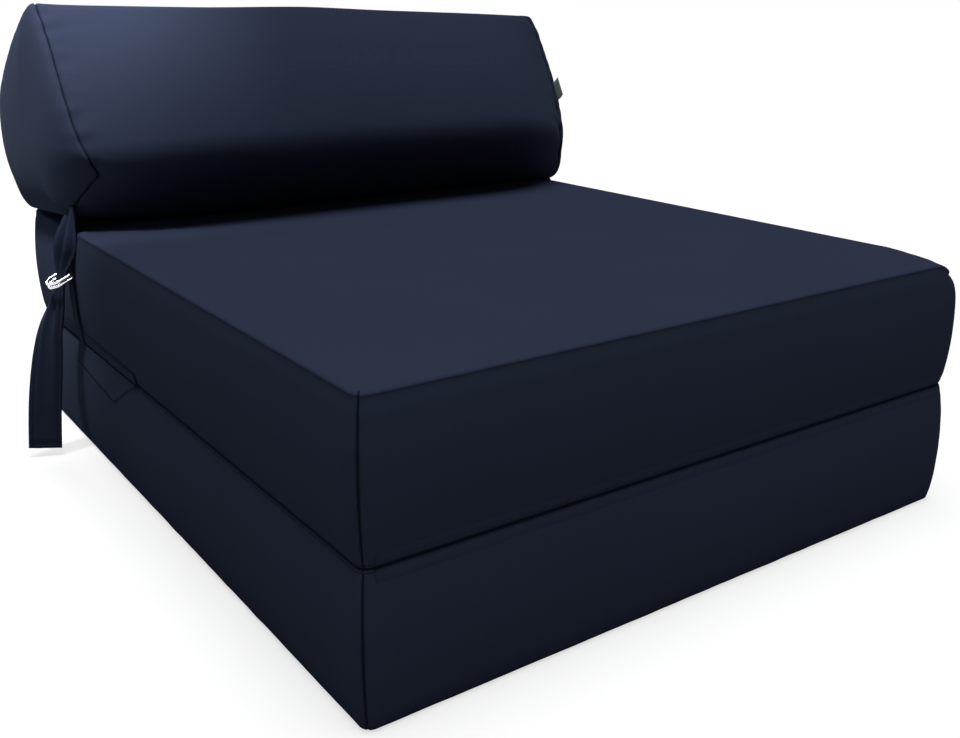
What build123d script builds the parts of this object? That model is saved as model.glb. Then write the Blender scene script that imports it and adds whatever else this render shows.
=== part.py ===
from build123d import *
import math
import os

# Folding chair bed: two foam slabs folded on each other, and a bolster tied on the rear by two straps.
# Millimetres. +X is to the right, +Y to the rear, +Z up; the origin is on the floor under the slabs' middle.

# Slabs
slab_width = 800.0
slab_length = 1000.0
slab_thickness = 150.0
side_bulge = 7.0
front_corner = 12.0
rear_corner = 60.0
seat_crown = 5.0
cover_wall = 2.5
body_gap = 0.3

# Cloth hinge at the front fold
hinge_cloth = 1.2
hinge_lap = 16.0
hinge_end_inset = 14.0
fold_clearance = 0.3

# Bolster
bolster_length = 800.0
bolster_height = 280.0
bolster_depth = 410.0
bolster_overhang = 62.0
bolster_wall = 2.5
end_bulge = 26.0
taper_length = 160.0

# Zips
zip_length = 600.0
zip_tape_width = 30.0
coil_width = 5.0
coil_height = 2.4
slider_length = 13.0
slider_width = 10.0
slider_wall = 1.3
slider_clearance = 0.3
slider_inset = 12.0
bridge_span = 9.0
bridge_width = 2.6
bridge_wall = 1.2
pull_length = 30.0
pull_width = 9.0
pull_thickness = 1.4
pull_clearance = 0.35

# Flap and patch sewn on the left side
sewn_cloth = 1.2
placket_length = 340.0
placket_height = 17.0
placket_front = 35.0
patch_length = 235.0
patch_front = 41.0
patch_drop = 45.0

# Ring straps and D-rings
strap_station = 252.0
webbing_width = 22.0
webbing_thickness = 1.5
ring_wire = 3.6
ring_inner_width = 28.0
ring_inner_height = 26.0
ring_corner = 4.5
ring_height = 99.0
ring_stand_off = 13.0
ring_pitch = 5.2
ring_lean = 115.0
loop_clearance = 0.3

# Tie straps
tie_width = 45.0
tie_thickness = 2.6
tie_sewn_height = 78.0
gather_width = 19.0
gather_thickness = 4.4
tail_twist = 68.0
tail_floor_gap = 7.0
tail_stand_off = 54.0

# Blank label
label_width = 18.0
label_height = 36.0
label_thickness = 1.0
label_sewn_in = 6.0
label_up_share = 0.5

# Heights and places that follow from the sizes above
lower_base = 0.0
upper_base = lower_base + slab_thickness + body_gap
upper_top = upper_base + slab_thickness
bolster_base = upper_top + seat_crown + body_gap
front_seam = -slab_length / 2
side_seam = slab_width / 2
rear_wall = slab_length / 2 + side_bulge

os.makedirs("parts", exist_ok=True)


def save(name, shape):
    """Write one node as its own file."""
    export_step(shape, "parts/" + name + ".step")


def block(x0, x1, y0, y1, z0, z1):
    """A box from the limits of its three sides."""
    return Pos((x0 + x1) / 2, (y0 + y1) / 2, (z0 + z1) / 2) * Box(x1 - x0, y1 - y0, z1 - z0)


def mirrored(shape):
    """The same piece on the other side of the middle plane."""
    return mirror(shape, about=Plane.YZ)


# Slabs: level rounded rectangles, lofted so that the side walls swell between the seams

level_shares = (0.0, 0.25, 0.5, 0.75, 1.0)
crown_rise_shares = (0.0, 0.55, 0.88, 1.0)
crown_size_shares = (1.0, 0.975, 0.93, 0.86)


def slab_section(height, swell, size_share=1.0):
    """One level outline of a slab, swollen by the given length."""
    wide = (slab_width + 2 * swell) * size_share
    long = (slab_length + 2 * swell) * size_share
    outline = Rectangle(wide, long)
    outline = fillet(outline.vertices().sort_by(Axis.Y)[:2], (front_corner + swell) * size_share)
    outline = fillet(outline.vertices().sort_by(Axis.Y)[-2:], (rear_corner + swell) * size_share)
    return Pos(0, 0, height) * outline


def slab_form(base, grow=0.0):
    """The space of a slab between its seams; grow moves the side walls out, and a negative one in."""
    levels = []
    for share in level_shares:
        swell = side_bulge * (1 - (2 * share - 1) ** 2)
        levels.append(slab_section(base + slab_thickness * share, swell + grow))
    return loft(levels)


def seat_crown_form(top):
    """The low crown of the seat face, flat in the middle."""
    levels = []
    for rise, size in zip(crown_rise_shares, crown_size_shares):
        levels.append(slab_section(top + seat_crown * rise, 0, size))
    return loft(levels)


def level_zone(low, high):
    """All the space between two heights, wider than any slab."""
    reach = slab_width + slab_length
    return block(-reach, reach, -reach, reach, low, high)


def slab_pieces(base):
    """Foam, boxing, top panel and bottom panel of one slab."""
    outer = slab_form(base)
    inner = slab_form(base, -cover_wall)
    low = base + cover_wall
    high = base + slab_thickness - cover_wall
    foam = inner & level_zone(low, high)
    boxing = (outer - inner) & level_zone(low, high)
    top = outer & level_zone(high, high + slab_thickness)
    bottom = outer & level_zone(low - slab_thickness, low)
    return foam, boxing, top, bottom


def wall_cloth(base, thickness, zone):
    """Cloth that lies on a slab's side wall, cut to a zone."""
    return (slab_form(base, thickness) - slab_form(base)) & zone


# Cloth hinge: each half lies on its own slab's front wall, beside the fold

hinge_half_length = side_seam - hinge_end_inset


def hinge_half(base, low, high):
    """The half of the hinge strip that is sewn to the slab at this height."""
    front = front_seam - side_bulge - hinge_cloth
    zone = block(-hinge_half_length, hinge_half_length, front, front_seam + front_corner, low, high)
    return wall_cloth(base, hinge_cloth, zone)


# Zips: a window in the cover holds the tape, the coil stands on it, and the slider straddles the coil

def zip_window(middle, front, back):
    """The space of a zip's tape in a wall that faces the rear."""
    half = zip_length / 2
    return block(-half, half, front, back, middle - zip_tape_width / 2, middle + zip_tape_width / 2)


def zip_coil(wall, middle):
    """The closed coil, a rib along the tape."""
    half = zip_length / 2 - coil_width
    return block(-half, half, wall, wall + coil_height, middle - coil_width / 2, middle + coil_width / 2)


slider_start = zip_length / 2 - slider_inset - slider_length - pull_length
deck_height = coil_height + slider_clearance + slider_wall
bridge_hollow = pull_thickness + 2 * pull_clearance


def zip_slider(wall, middle):
    """A slider that straddles the coil, with an arched bridge that traps the pull."""
    inside = coil_width / 2 + slider_clearance
    outside = slider_width / 2
    low = wall + slider_clearance
    ceiling = wall + coil_height + slider_clearance
    deck = wall + deck_height
    start, end = slider_start, slider_start + slider_length
    centre = (start + end) / 2
    body = block(start, end, low, deck, middle - outside, middle + outside)
    channel = block(start, end, low, ceiling, middle - inside, middle + inside)
    reach = bridge_span / 2
    half = bridge_width / 2
    crest = deck + bridge_hollow + bridge_wall
    arch = block(centre - reach, centre + reach, deck, crest, middle - half, middle + half)
    inner = reach - bridge_wall
    opening = block(centre - inner, centre + inner, deck, deck + bridge_hollow, middle - half, middle + half)
    return (body - channel) + (arch - opening)


pull_axis_x = slider_start + (slider_length + bridge_span - pull_thickness) / 2 - bridge_wall - pull_clearance
pull_axis_rise = deck_height + pull_clearance + pull_thickness / 2


def zip_pull(wall, middle):
    """A flat tab whose cross bar turns under the bridge."""
    x, y = pull_axis_x, wall + pull_axis_rise
    half = pull_thickness / 2
    bar = Pos(x, y, middle) * Cylinder(half, pull_width)
    plate = block(x, x + pull_length, y - half, y + half, middle - pull_width / 2, middle + pull_width / 2)
    far_post = x - slider_start - (slider_length - bridge_span) / 2
    crest = bridge_hollow + bridge_wall - pull_axis_rise + deck_height
    slot_length = math.hypot(far_post, crest) + pull_clearance
    slot_half = bridge_width / 2 + pull_clearance
    slot = block(x, x + slot_length, y - half, y + half, middle - slot_half, middle + slot_half)
    return (plate - slot) + bar


# Bolster: corner circles joined by large arcs, lofted along X

# Corners in the order front, ridge, rear, rear foot and front foot, with the face that follows each
corner_across_shares = (0.102, 0.401, 0.795, 0.707, 0.271)
corner_up_shares = (0.36, 0.83, 0.385, 0.30, 0.19)
corner_radius_shares = (0.15, 0.17, 0.30, 0.30, 0.19)
face_radius_shares = (1.6, 1.9, 3.0, 0.0, 2.2)

# The same corners at the end seams, where the front draws back and the ridge is sharper
end_across_shares = (0.215, 0.445, 0.795, 0.707, 0.31)
end_up_shares = (0.30, 0.905, 0.385, 0.30, 0.145)
end_radius_shares = (0.12, 0.08, 0.30, 0.30, 0.11)

bolster_front = slab_length / 2 + bolster_overhang - bolster_depth
cap_middle_y = bolster_front + bolster_depth * 0.565
cap_middle_z = bolster_base + bolster_height * 0.45


def bolster_circles(inset, end_share=0.0):
    """The corner circles of the section as (y, z, radius); the share is 1 at an end seam."""
    middle_shares = zip(corner_across_shares, corner_up_shares, corner_radius_shares)
    end_shares = zip(end_across_shares, end_up_shares, end_radius_shares)
    circles = []
    for middle_share, seam_share in zip(middle_shares, end_shares):
        across, up, radius = [a + (b - a) * end_share for a, b in zip(middle_share, seam_share)]
        y = bolster_front + across * bolster_depth
        z = bolster_base + up * bolster_height
        circles.append((y, z, radius * bolster_height - inset))
    return circles


def face_span(first, second, face_radius):
    """Start, middle and end of the face that wraps two corner circles; no radius is a straight face."""
    (y1, z1, r1), (y2, z2, r2) = first, second
    span = math.hypot(y2 - y1, z2 - z1)
    ey, ez = (y2 - y1) / span, (z2 - z1) / span
    if face_radius:
        d1, d2 = face_radius - r1, face_radius - r2
        along = (d1 * d1 - d2 * d2 + span * span) / (2 * span)
        across = math.sqrt(d1 * d1 - along * along)
        cy, cz = y1 + along * ey + across * ez, z1 + along * ez - across * ey
        n1 = ((y1 - cy) / d1, (z1 - cz) / d1)
        n2 = ((y2 - cy) / d2, (z2 - cz) / d2)
    else:
        lean = (r1 - r2) / span
        rise = math.sqrt(1 - lean * lean)
        n1 = n2 = (lean * ey - rise * ez, lean * ez + rise * ey)
    start = (y1 + r1 * n1[0], z1 + r1 * n1[1])
    end = (y2 + r2 * n2[0], z2 + r2 * n2[1])
    return start, bulged_middle(start, end, (n1[0] + n2[0], n1[1] + n2[1]), face_radius), end


def bulged_middle(start, end, outward, radius):
    """The point halfway along an arc, outward of its chord; no radius is a straight chord."""
    half_chord = math.hypot(end[0] - start[0], end[1] - start[1]) / 2
    rise = radius - math.sqrt(radius * radius - half_chord * half_chord) if radius else 0.0
    length = math.hypot(*outward)
    middle_y = (start[0] + end[0]) / 2 + rise * outward[0] / length
    middle_z = (start[1] + end[1]) / 2 + rise * outward[1] / length
    return middle_y, middle_z


def bolster_outline(x, inset=0.0, end_share=0.0, size_share=1.0):
    """The bolster's section at x as a face, drawn in by inset, and made smaller about its cap's middle."""
    circles = bolster_circles(inset, end_share)
    count = len(circles)

    def place(point):
        y = cap_middle_y + (point[0] - cap_middle_y) * size_share
        return x, y, cap_middle_z + (point[1] - cap_middle_z) * size_share

    spans = []
    for index, circle in enumerate(circles):
        radius = face_radius_shares[index] * bolster_height
        spans.append(face_span(circle, circles[(index + 1) % count], radius and radius - inset))
    edges = []
    for index, (start, middle, end) in enumerate(spans):
        after = (index + 1) % count
        y, z, radius = circles[after]
        following = spans[after][0]
        outward = ((end[0] + following[0]) / 2 - y, (end[1] + following[1]) / 2 - z)
        corner = bulged_middle(end, following, outward, radius)
        if face_radius_shares[index]:
            edges.append(ThreePointArc(place(start), place(middle), place(end)))
        else:
            edges.append(Line(place(start), place(end)))
        edges.append(ThreePointArc(place(end), place(corner), place(following)))
    return make_face(edges)


taper_place_shares = (0.0, 0.4, 0.75, 1.0)
taper_end_shares = (0.0, 0.16, 0.56, 1.0)
cap_place_shares = (0.0, 0.5, 0.85, 1.0)
cap_size_shares = (1.0, 0.93, 0.78, 0.55)


def bolster_left_taper(inset):
    """The stretch of the body that draws in towards the left end seam."""
    faces = []
    for place, end_share in zip(taper_place_shares, taper_end_shares):
        x = -(bolster_length / 2 - taper_length * (1 - place))
        faces.append(bolster_outline(x, inset, end_share))
    return loft(faces)


def bolster_tube(inset):
    """The long body between the end seams."""
    straight = bolster_length - 2 * taper_length
    middle = extrude(bolster_outline(-straight / 2, inset), amount=straight, dir=(1, 0, 0))
    taper = bolster_left_taper(inset)
    return middle + taper + mirrored(taper)


def bolster_left_cap(inset):
    """The swollen left end, outside the end seam."""
    faces = []
    for place, size in zip(cap_place_shares, cap_size_shares):
        x = -(bolster_length / 2 + place * (end_bulge - inset))
        faces.append(bolster_outline(x, inset, 1.0, size))
    return loft(faces)


def bolster_rear_point():
    """Where the bolster's rear corner faces straight back, as (y, z)."""
    y, z, radius = bolster_circles(0.0)[2]
    return y + radius, z


# Blank label: a plain tab in the right end seam, on the lower half of the front face

def blank_label(body):
    """A thin plate that carries on the front face past the right end seam."""
    circles = bolster_circles(0.0, 1.0)
    start, middle, end = face_span(circles[0], circles[1], face_radius_shares[0] * bolster_height)
    slope = math.degrees(math.atan2(middle[1] - start[1], middle[0] - start[0]))
    y = start[0] + (middle[0] - start[0]) * label_up_share
    z = start[1] + (middle[1] - start[1]) * label_up_share
    long = label_width + label_sewn_in
    plate = Pos(bolster_length / 2 - label_sewn_in + long / 2, 0, label_thickness / 2)
    plate = plate * Box(long, label_height, label_thickness)
    return Pos(0, y, z) * (Rot(slope, 0, 0) * plate) - body


# Ring straps, D-rings and tie straps of the left side; distances out from the side seam are called out

lean_sine = math.sin(math.radians(ring_lean))
lean_cosine = math.cos(math.radians(ring_lean))
bar_height = upper_base + ring_height


def left_point(out, z, y=strap_station):
    """A point beside the left wall, out being its distance from the side seam."""
    return Vector(-(side_seam + out), y, z)


def ring_bar(order):
    """Distance out and height of a ring's straight bar; order 0 is the inner ring and 1 the outer."""
    return ring_stand_off + order * ring_pitch * lean_cosine, bar_height - order * ring_pitch * lean_sine


def d_ring(order):
    """One wire ring: a straight bar, two legs and a half round, leaning outward."""
    half = (ring_inner_width + ring_wire) / 2
    arc_height = ring_wire + ring_inner_height - half
    corner = ring_corner
    side = half * math.sqrt(0.5)
    bend = corner * (1 - math.sqrt(0.5))
    right = [
        Line((0, 0), (half - corner, 0)),
        ThreePointArc((half - corner, 0), (half - bend, bend), (half, corner)),
        Line((half, corner), (half, arc_height)),
        ThreePointArc((half, arc_height), (side, arc_height + side), (0, arc_height + half)),
    ]
    path = Wire(right)
    wire = sweep(Plane(origin=path @ 0, z_dir=path % 0) * Circle(ring_wire / 2), path)
    ring = wire + mirror(wire, about=Plane.YZ)
    out, z = ring_bar(order)
    plane = Plane(origin=left_point(out, z), x_dir=(0, 1, 0), z_dir=(lean_cosine, 0, lean_sine))
    return plane.location * ring


def ring_stadium(radius):
    """The space round both ring bars, as wide as the webbing."""
    (out_a, z_a), (out_b, z_b) = ring_bar(0), ring_bar(1)
    slot = SlotCenterToCenter(ring_pitch, 2 * radius)
    middle = left_point((out_a + out_b) / 2, (z_a + z_b) / 2, strap_station + webbing_width / 2)
    plane = Plane(origin=middle, x_dir=(lean_cosine, 0, lean_sine), z_dir=(0, -1, 0))
    return extrude(plane * slot, amount=webbing_width)


def ring_strap():
    """Doubled webbing from the seam under the upper slab, up its wall and round the two bars."""
    hole = ring_wire / 2 + loop_clearance
    outer = hole + webbing_thickness
    (out_a, z_a), (out_b, z_b) = ring_bar(0), ring_bar(1)
    double = 2 * webbing_thickness
    knee = upper_base + ring_height * 0.75
    points = [
        (-side_bulge, upper_base), (-side_bulge, knee), (out_a - outer, z_a),
        (out_b + outer * lean_cosine, z_b - outer * lean_sine),
        (side_bulge + double, knee), (double, upper_base),
    ]
    low_end = strap_station - webbing_width / 2
    outline = Polyline([left_point(out, z, low_end) for out, z in points], close=True)
    legs = extrude(make_face(outline), amount=webbing_width, dir=(0, 1, 0))
    return (legs + ring_stadium(outer)) - ring_stadium(hole) - slab_form(upper_base)


def tie_route():
    """Stations of the tie strap: out, height, width, thickness and twist."""
    pass_out, pass_height = ring_bar(0)
    middle = (ring_wire + ring_inner_height) / 2
    pass_out, pass_height = pass_out + middle * lean_sine, pass_height + middle * lean_cosine
    drop = pass_height - tail_floor_gap
    spread = tail_stand_off - pass_out
    slack = (tie_width + gather_width) / 2
    plump = (tie_thickness + gather_thickness) / 2
    edge = body_gap + tie_thickness / 2
    return [
        (edge, bolster_base + tie_sewn_height, tie_width, tie_thickness, 0),
        (edge, bolster_base, tie_width, tie_thickness, 0),
        (edge + side_bulge * 0.75, upper_top - 0.11 * slab_thickness, tie_width, tie_thickness, 0),
        (edge + side_bulge * 1.25, upper_top - 0.24 * slab_thickness, slack, plump, 0),
        (pass_out - 0.12 * ring_inner_height, pass_height + 0.2 * ring_inner_height, gather_width, gather_thickness, 0),
        (pass_out + 0.2 * ring_pitch, pass_height - 1.6 * ring_pitch, gather_width, gather_thickness, 0),
        (pass_out + 0.25 * spread, pass_height - 0.13 * drop, gather_width * 1.3, plump, 0.2 * tail_twist),
        (pass_out + 0.62 * spread, pass_height - 0.27 * drop, slack, tie_thickness * 1.1, 0.5 * tail_twist),
        (pass_out + 0.8 * spread, pass_height - 0.48 * drop, tie_width * 0.9, tie_thickness, 0.8 * tail_twist),
        (pass_out + 0.93 * spread, pass_height - 0.74 * drop, tie_width, tie_thickness, 0.95 * tail_twist),
        (tail_stand_off, tail_floor_gap, tie_width, tie_thickness, tail_twist),
    ]


def tie_strap(bolster):
    """The left tie strap: flat at the bolster, gathered through the rings, its tail turned to the front."""
    route = tie_route()
    places = [left_point(out, z) for out, z, wide, thick, twist in route]
    sections = []
    for index, (out, z, wide, thick, twist) in enumerate(route):
        before = places[max(index - 1, 0)]
        after = places[min(index + 1, len(places) - 1)]
        plane = Plane(origin=places[index], x_dir=(0, 1, 0), z_dir=after - before).rotated((0, 0, twist))
        if index in (0, len(route) - 1):
            plane = Plane(origin=places[index], x_dir=(0, 1, 0), z_dir=(0, 0, -1)).rotated((0, 0, twist))
        sections.append(plane * Rectangle(wide, thick))
    return loft(sections, ruled=True) - bolster


# Slabs and what is sewn to them

lower_foam, lower_boxing, lower_top, lower_bottom = slab_pieces(lower_base)
upper_foam, upper_boxing, upper_top_panel, upper_bottom = slab_pieces(upper_base)
save("lower_foam_core", lower_foam)
save("lower_inner_panel", lower_top)
save("lower_floor_panel", lower_bottom)
save("upper_foam_core", upper_foam)
save("upper_seat_panel", upper_top_panel + seat_crown_form(upper_top))
save("upper_underside_panel", upper_bottom)

for side, base, foam, boxing in (
    ("lower", lower_base, lower_foam, lower_boxing),
    ("upper", upper_base, upper_foam, upper_boxing),
):
    middle = base + slab_thickness / 2
    window = zip_window(middle, front_seam + slab_length * 0.75, rear_wall)
    save(side + "_boxing", boxing - window)
    save(side + "_zip_tape", boxing & window)
    save(side + "_zip_coil", zip_coil(rear_wall, middle))
    save(side + "_zip_slider", zip_slider(rear_wall, middle))
    save(side + "_zip_pull", zip_pull(rear_wall, middle))

fold_low = lower_base + slab_thickness
save("hinge_strip_lower_half", hinge_half(lower_base, fold_low - hinge_lap, fold_low))
save("hinge_strip_upper_half", hinge_half(upper_base, upper_base, upper_base + hinge_lap))

outside = -(side_seam + slab_width)
placket_zone = block(
    outside, 0, placket_front, placket_front + placket_length, upper_base, upper_base + placket_height
)
placket = wall_cloth(upper_base, sewn_cloth, placket_zone)
save("zip_placket", placket)

patch_corners = Polyline(
    (outside, patch_front, fold_low),
    (outside, patch_front + patch_length / 3, fold_low - patch_drop),
    (outside, patch_front + patch_length, fold_low - patch_drop * 0.7),
    (outside, patch_front + patch_length, fold_low),
    close=True,
)
patch_zone = extrude(make_face(patch_corners), amount=-outside, dir=(1, 0, 0))
save("lower_side_patch", wall_cloth(lower_base, sewn_cloth, patch_zone))

# Bolster and what is sewn to it

outer_tube = bolster_tube(0.0)
inner_tube = bolster_tube(bolster_wall)
outer_cap = bolster_left_cap(0.0)
inner_cap = bolster_left_cap(bolster_wall)
filling = inner_tube + inner_cap + mirrored(inner_cap)
left_panel = outer_cap - inner_cap
rear_y, rear_z = bolster_rear_point()
bolster_window = zip_window(rear_z, rear_y - bolster_depth / 4, rear_y)
cover = outer_tube - inner_tube
save("bolster_filling", filling)
save("bolster_cover", cover - bolster_window)
save("bolster_left_end_panel", left_panel)
save("bolster_right_end_panel", mirrored(left_panel))
save("bolster_zip_tape", cover & bolster_window)
save("bolster_zip_coil", zip_coil(rear_y, rear_z))
save("bolster_zip_slider", zip_slider(rear_y, rear_z))
save("bolster_zip_pull", zip_pull(rear_y, rear_z))
save("blank_label", blank_label(outer_tube + mirrored(outer_cap)))

# Straps and rings, left and right

tie = tie_strap(outer_tube + outer_cap)
webbing = ring_strap()
inner_ring = d_ring(0)
outer_ring = d_ring(1)
save("left_tie_strap", tie)
save("left_ring_strap", webbing - placket)
save("left_inner_d_ring", inner_ring)
save("left_outer_d_ring", outer_ring)
save("right_tie_strap", mirrored(tie))
save("right_ring_strap", mirrored(webbing))
save("right_inner_d_ring", mirrored(inner_ring))
save("right_outer_d_ring", mirrored(outer_ring))
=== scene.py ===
import math

import bpy
from mathutils import Matrix, Vector, noise


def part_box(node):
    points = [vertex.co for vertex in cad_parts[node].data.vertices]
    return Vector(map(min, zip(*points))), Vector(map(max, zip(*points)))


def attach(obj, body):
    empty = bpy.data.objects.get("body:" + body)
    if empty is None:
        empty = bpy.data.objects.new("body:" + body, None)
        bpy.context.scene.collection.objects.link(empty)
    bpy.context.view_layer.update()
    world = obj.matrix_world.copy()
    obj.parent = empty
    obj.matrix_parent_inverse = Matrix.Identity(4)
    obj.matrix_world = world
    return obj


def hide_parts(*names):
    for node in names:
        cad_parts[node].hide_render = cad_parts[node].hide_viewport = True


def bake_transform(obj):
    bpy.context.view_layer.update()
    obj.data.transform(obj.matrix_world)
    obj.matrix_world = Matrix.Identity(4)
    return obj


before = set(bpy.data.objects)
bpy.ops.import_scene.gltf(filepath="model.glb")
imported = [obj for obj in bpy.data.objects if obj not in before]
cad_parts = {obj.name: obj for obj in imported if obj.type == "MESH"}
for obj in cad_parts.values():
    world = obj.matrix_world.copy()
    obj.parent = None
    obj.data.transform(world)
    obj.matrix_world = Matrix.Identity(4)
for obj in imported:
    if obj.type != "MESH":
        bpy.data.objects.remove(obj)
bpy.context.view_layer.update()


def node_box(name):
    """Lowest and highest corners of a node of the frame, to a hundredth of a millimetre."""
    return [[round(value, 5) for value in corner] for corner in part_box(name)]


# Sizes of the slabs, in metres
SIDE_BULGE, SEAT_CROWN = 0.007, 0.005
HALF_WIDTH, HALF_LENGTH = [round(side - SIDE_BULGE, 5) for side in node_box("upper_boxing")[1][:2]]
FRONT_CORNER, REAR_CORNER = 0.012, 0.060
EDGE_INSET, SEAT_EDGE, CROWN_REACH = 0.0034, 0.0030, 0.062
LOWER = (node_box("lower_floor_panel")[0][2], node_box("lower_inner_panel")[1][2])
UPPER = (node_box("upper_underside_panel")[0][2], round(node_box("upper_seat_panel")[1][2] - SEAT_CROWN, 5))
FOLD_HEIGHT = (LOWER[1] + UPPER[0]) / 2
# The upper slab's right front corner is rounded over, fading out behind the front
WORN_RADIUS, WORN_REACH = 0.042, 0.11
CORE_INSET = 0.003
# Depth and size of the cloth's ripple: over the walls, along their edges and corner seams, over the panels
WALL_RIPPLE, EDGE_RIPPLE, CORNER_RIPPLE = (0.0011, 0.16), (0.0005, 0.022), (0.0005, 0.02)
PANEL_RIPPLE, RIM_RIPPLE = (0.0009, 0.2), (0.0004, 0.025)
CORNER_SUNK = 0.0012
# Rows near an edge: how far out of the seam line, how far in from the panel, and the seam's shade
SEWN_EDGE = (
    (-0.0034, 0.0001, 0.0), (-0.0020, 0.0007, 0.0), (-0.0010, 0.0016, 0.0), (-0.0005, 0.0025, 0.0),
    (-0.0010, 0.0033, 0.5), (-0.0001, 0.0042, 0.0), (0.0004, 0.0056, 0.0), (0.0007, 0.0078, 0.0),
)
SEAT_ROUND_EDGE = (
    (-0.0030, -0.0002, 0.0), (-0.0016, 0.0002, 0.0), (-0.0005, 0.0010, 0.0), (0.0002, 0.0020, 0.0),
    (0.0002, 0.0030, 0.2), (0.0001, 0.0040, 0.0), (0.0004, 0.0056, 0.0), (0.0007, 0.0078, 0.0),
)
PANEL_INSETS = (
    0.0055, 0.009, 0.014, 0.022, 0.034, 0.05, 0.07, 0.095, 0.125, 0.16, 0.2, 0.24, 0.28, 0.32, 0.36, 0.394
)
WALL_ROWS, WALL_START = 22, 0.052

# Sizes of the bolster
bolster_low, bolster_high = node_box("bolster_cover")
BOLSTER_BASE, BOLSTER_HEIGHT = bolster_low[2], 0.280
BOLSTER_FRONT, BOLSTER_DEPTH = 0.152, 0.410
BOLSTER_HALF = bolster_high[0]
BOLSTER_ZIP_HEIGHT = sum(corner[2] for corner in node_box("bolster_zip_tape")) / 2
TAPER = 0.170
END_BULGE = 0.0260
# Circles round the section, as shares of depth and height: across, up, radius
REAR_CIRCLES = ((0.795, 0.385, 0.30), (0.707, 0.30, 0.30))
MIDDLE_SECTION = ((0.108, 0.365, 0.160), (0.401, 0.83, 0.17), *REAR_CIRCLES, (0.271, 0.19, 0.19))
LEFT_END = ((0.2048, 0.32, 0.12), (0.4561, 0.945, 0.07), *REAR_CIRCLES, (0.2998, 0.125, 0.075))
RIGHT_END = ((0.2649, 0.26, 0.13), (0.4452, 0.905, 0.08), *REAR_CIRCLES, (0.2840, 0.110, 0.125))
# Radii of the faces between the circles, as shares of the height; 0 is flat
FACE_RADII = (1.3, 1.9, 3.0, 0.0, 2.2)
END_RADII = (2.4, 2.6, 3.0, 0.0, 2.2)
FACE_STEPS = (36, 40, 8, 14, 18)
CAP_MIDDLE = (BOLSTER_FRONT + 0.565 * BOLSTER_DEPTH, BOLSTER_BASE + 0.45 * BOLSTER_HEIGHT)
# Depth and size of the puckers at the end seams, how far they reach, and the broad ripple of the cover
PUCKER, TUCK_REACH, BROAD_RIPPLE = (0.0044, 0.014), 0.016, (0.003, 0.19)
# No ripple under the zip tape, and none where the bolster rests on the seat
CALM_BEHIND, CALM_REACH = 0.45, 0.03
REST_START, REST_REACH = 0.004, 0.03
# The top of the right half is lower
RIGHT_SAG, SAG_START, SAG_REACH = 0.010, -0.05, 0.35
# The lower front corner of each end is drawn in
PINCH_Y, PINCH_Z, PINCH_DEEP, PINCH_HIGH = 0.203, 0.376, 0.05, 0.045
PINCH_LEFT, PINCH_RIGHT, PINCH_REACH = 0.030, 0.010, 0.045
# A crease beside the right one: its place, direction, half length and the heights of its ridge and groove
CREASE_X, CREASE_Z, CREASE_BEFORE = 0.372, 0.418, 0.3
CREASE_ACROSS, CREASE_DOWN, CREASE_HALF = 0.786, 0.618, 0.036
RIDGE_HEIGHT, GROOVE_DEPTH = 0.0038, 0.0026


# Mesh helpers
def ease(value):
    """0 below 0, 1 above 1 and smooth between."""
    value = min(max(value, 0.0), 1.0)
    return value * value * (3 - 2 * value)


def wave(point, size, seed):
    """Smooth noise of about -1 to 1, with features of the given size."""
    return noise.noise(Vector(point) / size + Vector((seed, seed * 1.7, seed * 0.6)))


def rippled(ripple, point, seed):
    """How far the cloth stands out at a point, for a ripple of a given depth and size."""
    depth, size = ripple
    return depth * wave(point, size, seed)


def mesh_piece(name, verts, faces, seam_and_shade=None):
    """A smooth object from points and faces; the last argument is a value per point that darkens the cloth,
    along dark seams and as painted shade.
    """
    mesh = bpy.data.meshes.new(name)
    mesh.from_pydata([tuple(v) for v in verts], [], faces)
    mesh.validate()
    # One point attribute darkens the cloth: dark seams and painted shade
    layer = mesh.attributes.new("seam_and_shade", "FLOAT", "POINT")
    if seam_and_shade is not None:
        layer.data.foreach_set("value", [float(s) for s in seam_and_shade])
    mesh.polygons.foreach_set("use_smooth", [True] * len(mesh.polygons))
    mesh.update()
    piece = bpy.data.objects.new(name, mesh)
    bpy.context.scene.collection.objects.link(piece)
    return piece


def skin_faces(rings, count):
    """Quads between successive closed rings of count points, and a face over each end."""
    faces = []
    for ring in range(rings - 1):
        a, b = ring * count, (ring + 1) * count
        for i in range(count):
            j = (i + 1) % count
            faces.append((a + i, a + j, b + j, b + i))
    last = (rings - 1) * count
    faces.append(tuple(reversed(range(count))))
    faces.append(tuple(range(last, last + count)))
    return faces


def turned_over(faces):
    """The faces with their other side out."""
    return [tuple(reversed(face)) for face in faces]


def join_parts(parts):
    """One list of points and faces from several."""
    verts, faces = [], []
    for more_verts, more_faces in parts:
        base = len(verts)
        verts.extend(more_verts)
        faces.extend(tuple(base + i for i in face) for face in more_faces)
    return verts, faces


# Materials
def link(tree, start, end):
    """Join two sockets."""
    tree.links.new(start, end)


def node(tree, kind, **values):
    """A new node with its sockets or properties set."""
    made = tree.nodes.new(kind)
    for key, value in values.items():
        if key in made.inputs:
            made.inputs[key].default_value = value
        else:
            setattr(made, key, value)
    return made


def calculate(tree, operation, first, second=None):
    """A Math node; its inputs are sockets or numbers."""
    made = tree.nodes.new("ShaderNodeMath")
    made.operation = operation
    for slot_index, value in enumerate((first, second)):
        if value is None:
            continue
        if isinstance(value, (int, float)):
            made.inputs[slot_index].default_value = value
        else:
            link(tree, value, made.inputs[slot_index])
    return made.outputs[0]


def new_material(name):
    """A material with its node tree and its shader."""
    material = bpy.data.materials.new(name)
    material.use_nodes = True
    tree = material.node_tree
    return material, tree, tree.nodes["Principled BSDF"]


def texture(tree, kind, place, output="Fac", **values):
    """A texture at a place; returns the named output."""
    made = node(tree, kind, **values)
    link(tree, place, made.inputs["Vector"])
    return made.outputs[output]


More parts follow.
